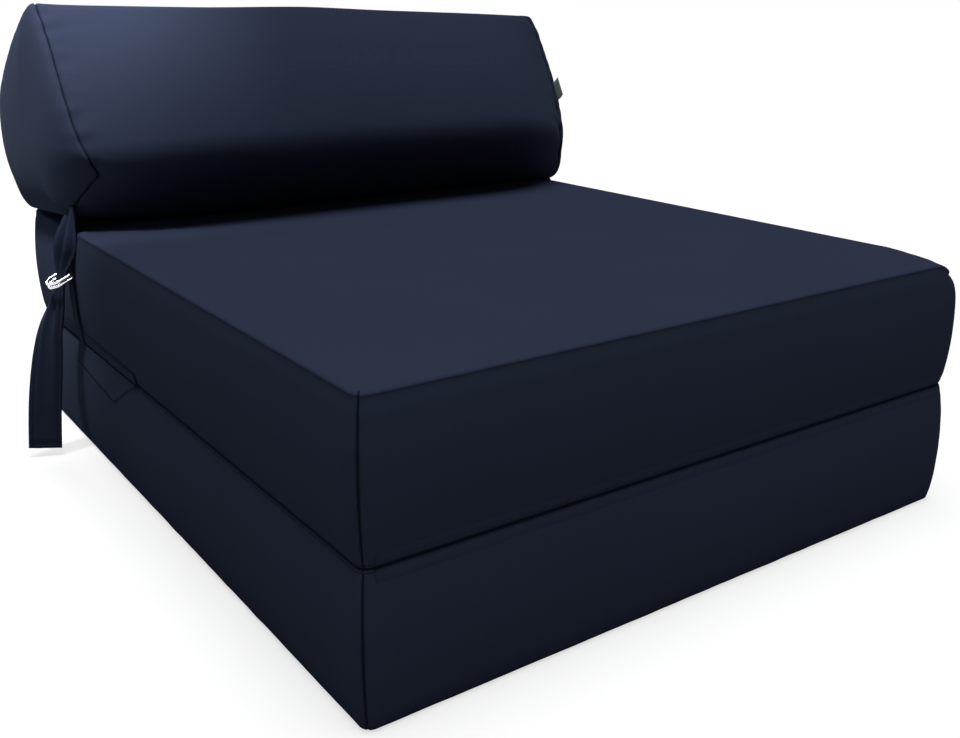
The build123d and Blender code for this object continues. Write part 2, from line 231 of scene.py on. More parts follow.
def scaled_sum(tree, value, factor, base):
    """A socket times a factor, plus a base."""
    return calculate(tree, "ADD", calculate(tree, "MULTIPLY", value, factor), base)


def set_colour(tree, shader, colour, level):
    """Base colour: a colour times a level."""
    tint = node(tree, "ShaderNodeMix", data_type="RGBA", blend_type="MULTIPLY")
    tint.inputs["Factor"].default_value = 1.0
    tint.inputs["A"].default_value = (*colour, 1)
    link(tree, level, tint.inputs["B"])
    link(tree, tint.outputs["Result"], shader.inputs["Base Color"])


def set_bump(tree, shader, height, strength, distance):
    """Bump from a height socket."""
    bumps = node(tree, "ShaderNodeBump", Strength=strength, Distance=distance)
    link(tree, height, bumps.inputs["Height"])
    link(tree, bumps.outputs["Normal"], shader.inputs["Normal"])


def cloth_material(name, colour, period, rough, sheen, bump, specular):
    """Woven cloth: threads of a given period, slubs, mottling, darker seams with painted shade from the same
    point attribute, and a sheen.
    """
    mottle, slub = 0.12, 0.35
    material, tree, shader = new_material(name)
    place = tree.nodes.new("ShaderNodeTexCoord").outputs["Object"]
    scaled = node(tree, "ShaderNodeVectorMath", operation="SCALE")
    link(tree, place, scaled.inputs[0])
    scaled.inputs["Scale"].default_value = 2 * math.pi / period
    parts = tree.nodes.new("ShaderNodeSeparateXYZ")
    link(tree, scaled.outputs[0], parts.inputs[0])
    x, y, z = [calculate(tree, "SINE", parts.outputs[i]) for i in range(3)]
    xy, yz, zx = [calculate(tree, "MULTIPLY", a, b) for a, b in ((x, y), (y, z), (z, x))]
    weave = calculate(tree, "ADD", calculate(tree, "ADD", xy, yz), zx)
    slubs = texture(tree, "ShaderNodeTexNoise", place, Scale=1 / (period * 6), Detail=3.0, Roughness=0.6)
    height = calculate(tree, "ADD", weave, calculate(tree, "MULTIPLY", slubs, slub * 4))
    set_bump(tree, shader, height, bump, period * 0.25)

    patches = texture(tree, "ShaderNodeTexNoise", place, Scale=7.0, Detail=4.0, Roughness=0.55)
    fine = texture(tree, "ShaderNodeTexNoise", place, Scale=420.0, Detail=2.0, Roughness=0.6)
    spread = calculate(tree, "ADD", calculate(tree, "MULTIPLY", patches, mottle),
                       calculate(tree, "MULTIPLY", fine, mottle * 1.6))
    level = calculate(tree, "ADD", spread, 1.0 - mottle * 1.3)
    level = calculate(tree, "ADD", level, calculate(tree, "MULTIPLY", weave, mottle * 0.5))
    # Darker along seams, and where painted shade is put into the point attribute
    seam_and_shade = node(tree, "ShaderNodeAttribute", attribute_name="seam_and_shade")
    shade = calculate(tree, "SUBTRACT", 1.0, calculate(tree, "MULTIPLY", seam_and_shade.outputs["Fac"], 0.8))
    set_colour(tree, shader, colour, calculate(tree, "MULTIPLY", level, shade))
    link(tree, scaled_sum(tree, slubs, 0.16, rough - 0.08), shader.inputs["Roughness"])
    shader.inputs["Specular IOR Level"].default_value = specular
    shader.inputs["Sheen Weight"].default_value = sheen
    shader.inputs["Sheen Roughness"].default_value = 0.45
    shader.inputs["Sheen Tint"].default_value = (0.75, 0.82, 1.0, 1)
    return material


def metal_material(name, colour, rough, scratch):
    """Plated metal with fine scratches and slight stains."""
    material, tree, shader = new_material(name)
    shader.inputs["Metallic"].default_value = 1.0
    place = tree.nodes.new("ShaderNodeTexCoord").outputs["Object"]
    marks = texture(tree, "ShaderNodeTexNoise", place, Scale=900.0, Detail=3.0, Roughness=0.7)
    stains = texture(tree, "ShaderNodeTexNoise", place, Scale=160.0, Detail=2.0, Roughness=0.5)
    set_colour(tree, shader, colour, scaled_sum(tree, stains, 0.25, 0.85))
    link(tree, scaled_sum(tree, marks, 0.2, rough - 0.1), shader.inputs["Roughness"])
    set_bump(tree, shader, marks, scratch, 0.0001)
    return material


def foam_material(name, colour, scale):
    """Open foam or wadding, with cells."""
    material, tree, shader = new_material(name)
    place = tree.nodes.new("ShaderNodeTexCoord").outputs["Object"]
    cells = texture(tree, "ShaderNodeTexVoronoi", place, "Distance", Scale=scale)
    set_colour(tree, shader, colour, scaled_sum(tree, cells, 0.25, 0.85))
    shader.inputs["Roughness"].default_value = 0.9
    set_bump(tree, shader, cells, 0.4, 0.0008)
    return material


NAVY = (0.0150, 0.0193, 0.0345)
# Colour, thread period, roughness, sheen, bump, specular
cover_cloth = cloth_material("cover_cloth", NAVY, 0.0011, 0.6, 0.006, 0.15, 0.0)
bolster_cloth = cloth_material("bolster_cloth", NAVY, 0.0011, 0.55, 0.010, 0.12, 0.0)
strap_cloth = cloth_material("strap_cloth", (0.0100, 0.0135, 0.0255), 0.0013, 0.45, 0.008, 0.3, 0.015)
webbing_cloth = cloth_material("webbing_cloth", (0.011, 0.0155, 0.030), 0.0018, 0.6, 0.02, 0.3, 0.0)
tape_cloth = cloth_material("tape_cloth", (0.009, 0.012, 0.024), 0.0009, 0.65, 0.02, 0.4, 0.1)
thread = cloth_material("thread", (0.0025, 0.0035, 0.007), 0.0004, 0.5, 0.002, 0.4, 0.0)
label_cloth = cloth_material("label_cloth", (0.035, 0.044, 0.051), 0.0006, 0.6, 0.05, 0.2, 0.1)
coil_nylon = cloth_material("coil_nylon", (0.012, 0.016, 0.030), 0.0006, 0.35, 0.0, 0.1, 0.4)
zinc = metal_material("zinc", (0.30, 0.31, 0.33), 0.38, 0.25)
plated = metal_material("plated", (0.78, 0.79, 0.81), 0.20, 0.12)
foam = foam_material("foam", (0.62, 0.60, 0.52), 700.0)
wadding = foam_material("wadding", (0.75, 0.75, 0.74), 320.0)


def wear(piece, material):
    """Give a piece its material."""
    piece.data.materials.clear()
    piece.data.materials.append(material)


# Slabs
def slab_loop(grow):
    """A level outline as (x, y, normal x, normal y, seam share), from the front left corner on."""
    wide, long = HALF_WIDTH + grow, HALF_LENGTH + grow
    front = max(FRONT_CORNER + grow, 0.0004)
    rear = max(REAR_CORNER + grow, 0.0004)
    corners = (
        (-wide + front, -long + front, front, 180, 12, True),
        (wide - front, -long + front, front, 270, 12, True),
        (wide - rear, long - rear, rear, 0, 18, False),
        (-wide + rear, long - rear, rear, 90, 18, False),
    )
    counts = (100, 112, 78, 112)
    points = []
    for index, (cx, cy, radius, start, steps, sewn) in enumerate(corners):
        for step in range(steps + 1):
            angle = math.radians(start + 90 * step / steps)
            nx, ny = math.cos(angle), math.sin(angle)
            middle = 1.0 if sewn and step == steps // 2 else 0.0
            points.append((cx + radius * nx, cy + radius * ny, nx, ny, middle))
        last = points[-1]
        ncx, ncy, nr, nstart = corners[(index + 1) % 4][:4]
        turn = math.radians(nstart)
        nx, ny = math.cos(turn), math.sin(turn)
        end = (ncx + nr * nx, ncy + nr * ny)
        for step in range(1, counts[index]):
            share = step / counts[index]
            points.append((
                last[0] + (end[0] - last[0]) * share, last[1] + (end[1] - last[1]) * share, nx, ny, 0.0
            ))
    return points


def slab_profile(low, high, crown):
    """Rows from the bottom panel's middle to the top one's: grow, height, seam, whether on the wall."""
    rows = [(-inset, low, 0.0, False) for inset in reversed(PANEL_INSETS)]
    rows += [(grow, low + rise, seam_and_shade, True) for grow, rise, seam_and_shade in SEWN_EDGE]
    height = high - low
    for step in range(1, WALL_ROWS):
        share = WALL_START + (1 - 2 * WALL_START) * step / WALL_ROWS
        swell = SIDE_BULGE * (1 - (2 * share - 1) ** 2)
        rows.append((swell, low + height * share, 0.0, True))
    top_edge = SEAT_ROUND_EDGE if crown else SEWN_EDGE
    rows += [(grow, high - rise, seam_and_shade, True) for grow, rise, seam_and_shade in reversed(top_edge)]
    for inset in PANEL_INSETS:
        rise = crown * (1 - (1 - min((inset - EDGE_INSET) / CROWN_REACH, 1.0)) ** 2)
        rows.append((-inset, high + rise, 0.0, False))
    return rows


def worn_corner(x, y, z, high):
    """A place on the slab, with the top right corner at the front rounded over."""
    radius = WORN_RADIUS * (1 - ease((y + HALF_LENGTH) / WORN_REACH))
    across = 1 - (HALF_WIDTH - x) / max(radius, 1e-4)
    up = 1 - (high - z) / max(radius, 1e-4)
    if radius < 0.002 or across <= 0 or up <= 0:
        return x, y, z
    pull = max(across, up) / math.hypot(across, up)
    return x - radius * across * (1 - pull), y, z - radius * up * (1 - pull)


def slab_core(name, low, high, crown):
    """The foam block of the slab with the rounded corner, just inside its cover."""
    top = high - CORE_INSET
    rows = slab_profile(low + CORE_INSET, top, crown)
    verts = []
    for grow, z, _, _ in rows:
        verts += [worn_corner(x, y, z, top) for x, y, *_ in slab_loop(grow - CORE_INSET)]
    piece = mesh_piece(name, verts, skin_faces(len(rows), len(slab_loop(0.0))))
    wear(piece, foam)
    return piece


def slab_cover(name, low, high, crown, seed):
    """The sewn cover of one slab: panels, boxing, edge seams and corner seams."""
    rows = slab_profile(low, high, crown)
    verts, seam_and_shade_marks = [], []
    for grow, z, seam_and_shade, wall in rows:
        for x, y, nx, ny, corner in slab_loop(grow):
            if wall:
                sunk = CORNER_SUNK * corner
                middle = math.sin(math.pi * min(max((z - low) / (high - low), 0), 1))
                ripple = middle * rippled(WALL_RIPPLE, (x, y, z), seed)
                near = math.exp(-min(z - low, high - z) / 0.012)
                ripple += near * rippled(EDGE_RIPPLE, (x, y, z * 0.3), seed + 5)
                beside = abs(abs(x) - HALF_WIDTH) if abs(ny) > 0.7 else abs(y + HALF_LENGTH)
                ripple += math.exp(-beside / 0.02) * rippled(CORNER_RIPPLE, (x * 0.2, y * 0.2, z), seed + 9)
                verts.append((x + nx * (ripple - sunk), y + ny * (ripple - sunk), z))
            else:
                deep = ease(-grow / 0.1)
                top = z > (low + high) / 2
                ripple = deep * rippled(PANEL_RIPPLE, (x, y, 0), seed + 3)
                ripple += math.exp(grow / 0.03) * rippled(RIM_RIPPLE, (x, y, 0), seed + 7)
                if not top or not crown:
                    ripple = -abs(ripple) if top else abs(ripple)
                verts.append((x, y, z + ripple))
            seam_and_shade_marks.append(max(seam_and_shade, corner if wall else 0.0))
    if crown:
        verts = [worn_corner(x, y, z, high) for x, y, z in verts]
    piece = mesh_piece(name, verts, skin_faces(len(rows), len(slab_loop(0.0))), seam_and_shade_marks)
    wear(piece, cover_cloth)
    return piece


upper_cover = slab_cover("upper_cover", *UPPER, SEAT_CROWN, 1.0)
lower_cover = slab_cover("lower_cover", *LOWER, 0.0, 4.0)
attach(upper_cover, "upper_slab")
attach(lower_cover, "lower_slab")
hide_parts("upper_seat_panel", "upper_boxing", "upper_underside_panel")
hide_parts("lower_inner_panel", "lower_boxing", "lower_floor_panel")
upper_core = slab_core("upper_foam", *UPPER, SEAT_CROWN)
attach(upper_core, "upper_slab")
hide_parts("upper_foam_core")


# Bolster
def arc(middle, radius, start, end, steps):
    """Points round a middle, the short way from one direction to another, without the last."""
    first, last = math.atan2(start[1], start[0]), math.atan2(end[1], end[0])
    turn = (last - first + math.pi) % (2 * math.pi) - math.pi
    angles = [first + turn * step / steps for step in range(steps)]
    return [(middle[0] + radius * math.cos(angle), middle[1] + radius * math.sin(angle)) for angle in angles]


def bolster_section(share, end_section):
    """The section's outline as (y, z) points; the share is 1 at an end seam."""
    circles = []
    for middle, end in zip(MIDDLE_SECTION, end_section):
        across, up, radius = [a + (b - a) * share for a, b in zip(middle, end)]
        y, z = BOLSTER_FRONT + across * BOLSTER_DEPTH, BOLSTER_BASE + up * BOLSTER_HEIGHT
        circles.append((y, z, radius * BOLSTER_HEIGHT))
    spans = []
    for index, (y1, z1, r1) in enumerate(circles):
        y2, z2, r2 = circles[(index + 1) % 5]
        span = math.hypot(y2 - y1, z2 - z1)
        ey, ez = (y2 - y1) / span, (z2 - z1) / span
        big = (FACE_RADII[index] + (END_RADII[index] - FACE_RADII[index]) * share) * BOLSTER_HEIGHT
        if big:
            d1, d2 = big - r1, big - r2
            along = (d1 * d1 - d2 * d2 + span * span) / (2 * span)
            across = math.sqrt(d1 * d1 - along * along)
            cy, cz = y1 + along * ey + across * ez, z1 + along * ez - across * ey
            n1 = ((y1 - cy) / d1, (z1 - cz) / d1)
            n2 = ((y2 - cy) / d2, (z2 - cz) / d2)
        else:
            lean = (r1 - r2) / span
            rise = math.sqrt(1 - lean * lean)
            n1 = n2 = (lean * ey - rise * ez, lean * ez + rise * ey)
            cy = cz = None
        start, end = (y1 + r1 * n1[0], z1 + r1 * n1[1]), (y2 + r2 * n2[0], z2 + r2 * n2[1])
        spans.append((start, end, n1, n2, (cy, cz), big))
    points = []
    for index, (start, end, n1, n2, centre, big) in enumerate(spans):
        steps = FACE_STEPS[index]
        if big:
            points += arc(centre, big, n1, n2, steps)
        else:
            shares = [step / steps for step in range(steps)]
            points += [tuple(a + (b - a) * there for a, b in zip(start, end)) for there in shares]
        after = (index + 1) % 5
        y2, z2, r2 = circles[after]
        points += arc((y2, z2), r2, n2, spans[after][2], 10)
    return points


def seat_height(x, y):
    """Height of the seat under a point."""
    inset = min(HALF_WIDTH - abs(x), HALF_LENGTH - abs(y))
    if inset < 0:
        return 0.0
    share = min(max((inset - SEAT_EDGE) / CROWN_REACH, 0.0), 1.0)
    return UPPER[1] + SEAT_CROWN * (1 - (1 - share) ** 2)


def bolster_rows():
    """Rings from the left cap's middle to the right one's: x, size, end share, sunk, seam."""
    cap_sizes = (
        0.03, 0.1, 0.2, 0.3, 0.4, 0.5, 0.6, 0.68, 0.75, 0.81, 0.86, 0.9, 0.93, 0.955, 0.972, 0.984, 0.992
    )
    cap = []
    for size in cap_sizes:
        out = END_BULGE * (1 - size ** 2.5) ** 0.4
        cap.append((-BOLSTER_HALF - out, size, 1.0, 0.0, 0.0))
    cap.append((-BOLSTER_HALF - 0.0022, 0.999, 1.0, 0.0, 0.0))
    cap.append((-BOLSTER_HALF, 1.0, 1.0, 0.0024, 1.0))
    body = []
    inward_steps = (
        0.0018, 0.004, 0.0075, 0.012, 0.018, 0.025, 0.033, 0.042, 0.052, 0.063, 0.075, 0.088, 0.102,
        0.117, 0.133, 0.15, 0.168, 0.187, 0.206, 0.226, 0.248, 0.272, 0.296, 0.32, 0.345, 0.372,
    )
    for inward in inward_steps:
        taper = max(1 - inward / TAPER, 0.0) ** 2
        sunk = 0.0004 if inward < 0.003 else 0.0
        body.append((-BOLSTER_HALF + inward, 1.0, taper, sunk, 0.0))
    half = cap + body
    rest = [(-x, size, share, sunk, seam_and_shade) for x, size, share, sunk, seam_and_shade in reversed(half)]
    return half + [(0.0, 1.0, 0.0, 0.0, 0.0)] + rest


def bolster_point(x, y, z, normal, size, sunk):
    """A point of the section with its cap size, puckers, ripple, pinched corner and crease."""
    ny, nz = normal
    z -= RIGHT_SAG * ease((x - SAG_START) / SAG_REACH) * ease((z - BOLSTER_BASE) / BOLSTER_HEIGHT)
    if (y - CAP_MIDDLE[0]) * ny + (z - CAP_MIDDLE[1]) * nz < 0:
        ny, nz = -ny, -nz
    cap = size < 1.0
    from_seam = (1 - size) * 0.15 if cap else BOLSTER_HALF - abs(x)
    tuck = math.exp(-from_seam / TUCK_REACH)
    pucker = rippled(PUCKER, (math.copysign(2.0, x), y, z), 11.0) * tuck * (0.5 if cap else 1.0)
    calm = ease(1.5 - abs(z - BOLSTER_ZIP_HEIGHT) / CALM_REACH) if y > CALM_BEHIND else 0.0
    broad = rippled(BROAD_RIPPLE, (x, y, z), 17.0) * (1 - tuck) * (1 - calm) - 0.0001 * calm
    resting = ease((z - BOLSTER_BASE - REST_START) / REST_REACH)
    out = (pucker + broad) * resting - sunk
    py = CAP_MIDDLE[0] + (y - CAP_MIDDLE[0]) * size + ny * out
    pz = CAP_MIDDLE[1] + (z - CAP_MIDDLE[1]) * size + nz * out
    reach = math.hypot((py - PINCH_Y) / PINCH_DEEP, (pz - PINCH_Z) / PINCH_HIGH)
    pull = math.exp(-1.4 * reach) * math.exp(-max(from_seam - 0.004, 0) / PINCH_REACH)
    px = x + PINCH_LEFT * pull if x < 0 else x - PINCH_RIGHT * pull
    if x > 0 and py < CREASE_BEFORE:
        along = ((px - CREASE_X) * CREASE_ACROSS - (pz - CREASE_Z) * CREASE_DOWN) / CREASE_HALF
        beside = (px - CREASE_X) * CREASE_DOWN + (pz - CREASE_Z) * CREASE_ACROSS
        ridge = RIDGE_HEIGHT * math.exp(-(beside / 0.005) ** 2)
        groove = GROOVE_DEPTH * math.exp(-((beside - 0.011) / 0.006) ** 2)
        py -= math.exp(-((along - 0.6) / 0.5) ** 2) * (ridge - groove)
    return px, py, max(pz, seat_height(px, py) + 0.0003)


def bolster_cover():
    """The stuffed bolster: a long body gathered at its end seams, and domed end panels."""
    rows = bolster_rows()
    verts, seam_and_shade_marks = [], []
    for x, size, share, sunk, seam_and_shade in rows:
        outline = bolster_section(share, LEFT_END if x < 0 else RIGHT_END)
        count = len(outline)
        for index, (y, z) in enumerate(outline):
            (y0, z0), (y1, z1) = outline[index - 1], outline[(index + 1) % count]
            length = math.hypot(z0 - z1, y1 - y0)
            normal = ((z1 - z0) / length, (y0 - y1) / length)
            verts.append(bolster_point(x, y, z, normal, size, sunk))
            seam_and_shade_marks.append(seam_and_shade)
    piece = mesh_piece("bolster_cover_cloth", verts, skin_faces(len(rows), len(verts) // len(rows)), seam_and_shade_marks)
    wear(piece, bolster_cloth)
    return piece


bolster = bolster_cover()
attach(bolster, "bolster")
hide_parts("bolster_cover", "bolster_left_end_panel", "bolster_right_end_panel", "bolster_filling")


# The tab's lowest sewn corner, its sewn side, its free way out and the way that it faces
LABEL_CORNER, LABEL_ALONG, LABEL_OUT = (0.3965, 0.246, 0.431), (0.0, 0.015, 0.028), (0.0210, 0.002, 0.013)
LABEL_NORMAL, LABEL_CURL = (0.15, -0.87, 0.47), 0.0035
LABEL_ROWS, LABEL_COLUMNS = 9, 11


def bare_label():
    """A small bare tab sewn in the right end seam, as a grid of points and normals."""
    grid = []
    for row in range(LABEL_ROWS):
        share = row / (LABEL_ROWS - 1)
        line = []
        for column in range(LABEL_COLUMNS):
            out = column / (LABEL_COLUMNS - 1)
            x, y, z = [a + b * share + c * out for a, b, c in zip(LABEL_CORNER, LABEL_ALONG, LABEL_OUT)]
            line.append(((x, y - LABEL_CURL * math.sin(math.pi * out), z), LABEL_NORMAL))
        grid.append(line)
    return grid


# Straps
def smooth_route(stations, per_span):
    """Catmull-Rom through rows of numbers."""
    result = []
    last = len(stations) - 1
    for index in range(last):
        p0 = stations[max(index - 1, 0)]
        p1, p2 = stations[index], stations[index + 1]
        p3 = stations[min(index + 2, last)]
        for step in range(per_span):
            t = step / per_span
            result.append(tuple(
                0.5 * (2 * b + (c - a) * t
                       + (2 * a - 5 * b + 4 * c - d) * t * t
                       + (3 * b - a - 3 * c + d) * t ** 3)
                for a, b, c, d in zip(p0, p1, p2, p3)
            ))
    result.append(stations[-1])
    return result


webbing_low, webbing_high = node_box("left_ring_strap")
STRAP_Y = round((webbing_low[1] + webbing_high[1]) / 2, 5)
# Out from the side seam, height, y, flat width, thickness, twist in degrees, depth of the fold
TIE_STATIONS = (
    (0.0010, 0.3340, STRAP_Y + 0.008, 0.030, 0.0020, 0, 0.000),
    (0.0030, 0.3240, STRAP_Y + 0.007, 0.030, 0.0020, 4, 0.003),
    (0.0070, 0.3120, STRAP_Y + 0.005, 0.033, 0.0020, 10, 0.007),
    (0.0125, 0.2980, STRAP_Y + 0.002, 0.038, 0.0020, 18, 0.011),
    (0.0165, 0.2820, STRAP_Y, 0.038, 0.0020, 22, 0.013),
    (0.0195, 0.2660, STRAP_Y, 0.030, 0.0020, 15, 0.011),
    (0.0222, 0.2500, STRAP_Y, 0.0235, 0.0020, 4, 0.006),
    (0.0238, 0.2390, STRAP_Y, 0.0230, 0.0020, 0, 0.005),
    (0.0262, 0.2270, STRAP_Y + 0.001, 0.0235, 0.0020, 3, 0.005),
    (0.0335, 0.2050, STRAP_Y + 0.002, 0.031, 0.0019, 20, 0.006),
    (0.0435, 0.1700, STRAP_Y + 0.003, 0.037, 0.0019, 38, 0.0040),
    (0.0510, 0.1220, STRAP_Y + 0.004, 0.041, 0.0018, 55, 0.002),
    (0.0580, 0.0680, STRAP_Y + 0.005, 0.042, 0.0018, 64, 0.001),
    (0.0630, 0.0120, STRAP_Y + 0.005, 0.042, 0.0018, 68, 0.0005),
)
# How far the upper part of the right strap sits back and in, and above which heights
RIGHT_BACK, RIGHT_BACK_FROM, RIGHT_IN, RIGHT_IN_FROM = 0.022, 0.262, 0.007, 0.272
HEM_HEIGHT, SIDE_HEM, END_HEM = 0.0195, 0.0005, 0.0004


def tie_strap(side):
    """Points, faces and seam and painted shade values of a folded strap, gathered in the rings; side is -1
    on the left.
    """
    route = smooth_route(TIE_STATIONS, 9)
    across = 17
    verts, seam_and_shade_marks = [], []
    for index, (out, z, y, width, thick, twist, fold) in enumerate(route):
        before, after = route[max(index - 1, 0)], route[min(index + 1, len(route) - 1)]
        along = Vector((-(after[0] - before[0]), 0, after[1] - before[1])).normalized()
        angle = math.radians(twist)
        wide = Vector((0, 1, 0))
        face = wide.cross(along).normalized()
        if face.x > 0:
            face = -face
        cosine, sine = math.cos(angle), math.sin(angle)
        wide, face = wide * cosine + face * sine, face * cosine - wide * sine
        if side > 0:
            y += RIGHT_BACK * ease((z - RIGHT_BACK_FROM) / 0.03)
            out -= RIGHT_IN * ease((z - RIGHT_IN_FROM) / 0.02)
        centre = Vector((-(HALF_WIDTH + max(out, 0.001)), y, z))
        upper_side, lower_side = [], []
        for step in range(across):
            u = 2 * step / (across - 1) - 1
            lift = fold * (0.5 - abs(math.cos(math.pi * u * 1.02)) ** 1.2) if fold else 0.0
            lift += 0.0006 * wave((u * 0.02, 0, z), 0.02, 21.0 + side)
            hem = (SIDE_HEM if abs(u) > 0.8 else 0.0) + (END_HEM if z < HEM_HEIGHT else 0.0)
            middle = centre + wide * (u * width / 2) + face * lift
            upper_side.append(middle + face * (thick / 2 + hem))
            lower_side.append(middle - face * (thick / 2 + hem))
        ring = upper_side + lower_side[::-1]
        end_stitch = 1.0 if abs(z - 0.0200) < 0.0022 else 0.0
        for place, point in enumerate(ring):
            u = 2 * (place % across) / (across - 1) - 1
            stitch_and_valley_shade = 0.45 if abs(abs(u) - 0.75) < 0.05 else 0.0
            # Painted shade in the fold's valley on the upper part, joined with the dark of the stitch lines
            painted_valley_shade = 0.85 * min(fold / 0.010, 1.0) * math.exp(-(u / 0.22) ** 2) if z > 0.2 else 0.0
            stitch_and_valley_shade = max(stitch_and_valley_shade, painted_valley_shade)
            verts.append((point.x if side < 0 else -point.x, point.y, point.z))
            seam_and_shade_marks.append(max(0.6 * end_stitch, stitch_and_valley_shade))
    faces = skin_faces(len(route), 2 * across)
    if side < 0:
        return verts, faces, seam_and_shade_marks
    return verts, turned_over(faces), seam_and_shade_marks


for side, word in ((-1, "left"), (1, "right")):
    verts, faces, seam_and_shade_marks = tie_strap(side)
    piece = mesh_piece(word + "_tie", verts, faces, seam_and_shade_marks)
    wear(piece, strap_cloth)
    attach(piece, "bolster")
    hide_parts(word + "_tie_strap")


def ribbon(path, y, width, thick):
    """A flat band along a path of (out, height), out from the left side seam; its width lies in Y."""
    across = 9
    verts = []
    for index, (out, z) in enumerate(path):
        before, after = path[max(index - 1, 0)], path[min(index + 1, len(path) - 1)]
        along = Vector((-(after[0] - before[0]), 0, after[1] - before[1])).normalized()
        face = Vector((0, 1, 0)).cross(along)
        centre = Vector((-(HALF_WIDTH + out), y, z))
        sides = ([], [])
        for step in range(across):
            u = 2 * step / (across - 1) - 1
            rim = -0.0002 if abs(u) > 0.9 else 0.0
            lift = 0.0002 * wave((out, u * 0.01, z), 0.01, 31.0)
            point = centre + Vector((0, u * width / 2, 0)) + face * lift
            sides[0].append(point + face * (thick / 2 + rim))
            sides[1].append(point - face * (thick / 2 + rim))
        verts += [tuple(point) for point in sides[0] + sides[1][::-1]]
    return verts, skin_faces(len(path), 2 * across)


WEBBING_WIDTH, WEBBING_THICKNESS = round(webbing_high[1] - webbing_low[1], 5), 0.0013
RING_LEAN = math.radians(115)
BAR_OUT, BAR_HEIGHT, RING_PITCH = 0.013, 0.2493, 0.0052
RING_WIRE_RADIUS, LOOP_GAP = 0.0018, 0.0003
LOOP_RADIUS = RING_WIRE_RADIUS + LOOP_GAP + 0.0007


def swell_at(z, low, high):
    """How far a slab's wall stands out at a height."""
    return SIDE_BULGE * (1 - (2 * (z - low) / (high - low) - 1) ** 2)


def ring_strap_path():
    """Up the wall, round the two ring bars and back down: (out, height) pairs."""
    lean_c, lean_s = math.cos(RING_LEAN), math.sin(RING_LEAN)
    out_b, z_b = BAR_OUT + RING_PITCH * lean_c, BAR_HEIGHT - RING_PITCH * lean_s
    outer = math.pi / 2 - RING_LEAN
    path = []
    for step in range(17):
        z = 0.1512 + 0.068 * step / 16
        path.append((swell_at(z, *UPPER) + 0.0012, z))
    path += [(0.0083, 0.2280), (0.0083, 0.2370), (0.0082, 0.2440)]
    for step in range(13):
        angle = outer + math.pi * (1 - step / 12)
        path.append((BAR_OUT + LOOP_RADIUS * math.cos(angle), BAR_HEIGHT + LOOP_RADIUS * math.sin(angle)))
    for step in range(7):
        angle = outer - math.radians(50) * step / 6
        path.append((out_b + LOOP_RADIUS * math.cos(angle), z_b + LOOP_RADIUS * math.sin(angle)))
    path += [(0.0112, 0.2395), (0.0103, 0.2350), (0.0101, 0.2290)]
    for step in range(15):
        z = 0.2220 - 0.0702 * step / 14
        path.append((swell_at(z, *UPPER) + 0.0031, z))
    return path


strap_path = ring_strap_path()
for word in ("left", "right"):
    verts, faces = ribbon(strap_path, STRAP_Y, WEBBING_WIDTH, WEBBING_THICKNESS)
    if word == "right":
        verts, faces = [(-x, y, z) for x, y, z in verts], turned_over(faces)
    piece = mesh_piece(word + "_webbing", verts, faces)
    wear(piece, webbing_cloth)
    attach(piece, "upper_slab")
    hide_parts(word + "_ring_strap")


# Cloth laid on the walls
def sheet_form(grid, thick):
    """A closed thin cloth from a grid of (point, outward normal), feathered at its rim."""
    rows, columns = len(grid), len(grid[0])
    verts = []
    for side in (1, 0):
        for r, row in enumerate(grid):
            for c, (point, normal) in enumerate(row):
                edge = r in (0, rows - 1) or c in (0, columns - 1)
                lift = (thick * (0.25 if edge else 1.0)) if side else -0.0003
                verts.append(tuple(Vector(point) + Vector(normal) * lift))
    faces = []
    area = rows * columns
    for r in range(rows - 1):
        for c in range(columns - 1):
            a = r * columns + c
            faces.append((a, a + 1, a + columns + 1, a + columns))
            faces.append((area + a, area + a + columns, area + a + columns + 1, area + a + 1))
    rim = [(0, c) for c in range(columns)] + [(r, columns - 1) for r in range(1, rows)]
    rim += [(rows - 1, c) for c in reversed(range(columns - 1))]
    rim += [(r, 0) for r in reversed(range(1, rows - 1))]
    loop = [r * columns + c for r, c in rim]
    for index, a in enumerate(loop):
        b = loop[(index + 1) % len(loop)]
        faces.append((b, a, area + a, area + b))
    return verts, faces


STITCH_LENGTH, STITCH_GAP, STITCH_RADIUS = 0.0032, 0.0012, 0.00032


def stitch_line(points, normals):
    """A row of thread stitches along a line; each is a small six-sided bead that dips at its ends."""
    parts = []
    travelled, spots = 0.0, []
    for index in range(len(points) - 1):
        a, b = Vector(points[index]), Vector(points[index + 1])
        reach = (b - a).length
        while travelled <= reach:
            spots.append((a.lerp(b, travelled / reach), (b - a).normalized(), Vector(normals[index])))
            travelled += STITCH_LENGTH + STITCH_GAP
        travelled -= reach
    for centre, along, normal in spots:
        beside = along.cross(normal).normalized()
        verts = []
        for share, size, rise in ((-0.5, 0.5, -0.3), (-0.25, 1.0, 0.5), (0.25, 1.0, 0.5), (0.5, 0.5, -0.3)):
            middle = centre + along * (share * STITCH_LENGTH) + normal * (STITCH_RADIUS * rise)
            for corner in range(6):
                angle = math.tau * corner / 6
                ring = beside * math.cos(angle) + normal * math.sin(angle)
                verts.append(tuple(middle + ring * (STITCH_RADIUS * size)))
        parts.append((verts, skin_faces(4, 6)))
    return join_parts(parts)


def left_wall(y, z, low, high):
    """A point of the left wall and its outward normal."""
    slope = (swell_at(z + 0.001, low, high) - swell_at(z - 0.001, low, high)) / 0.002
    normal = Vector((-1, 0, slope)).normalized()
    return (-(HALF_WIDTH + swell_at(z, low, high)), y, z), tuple(normal)


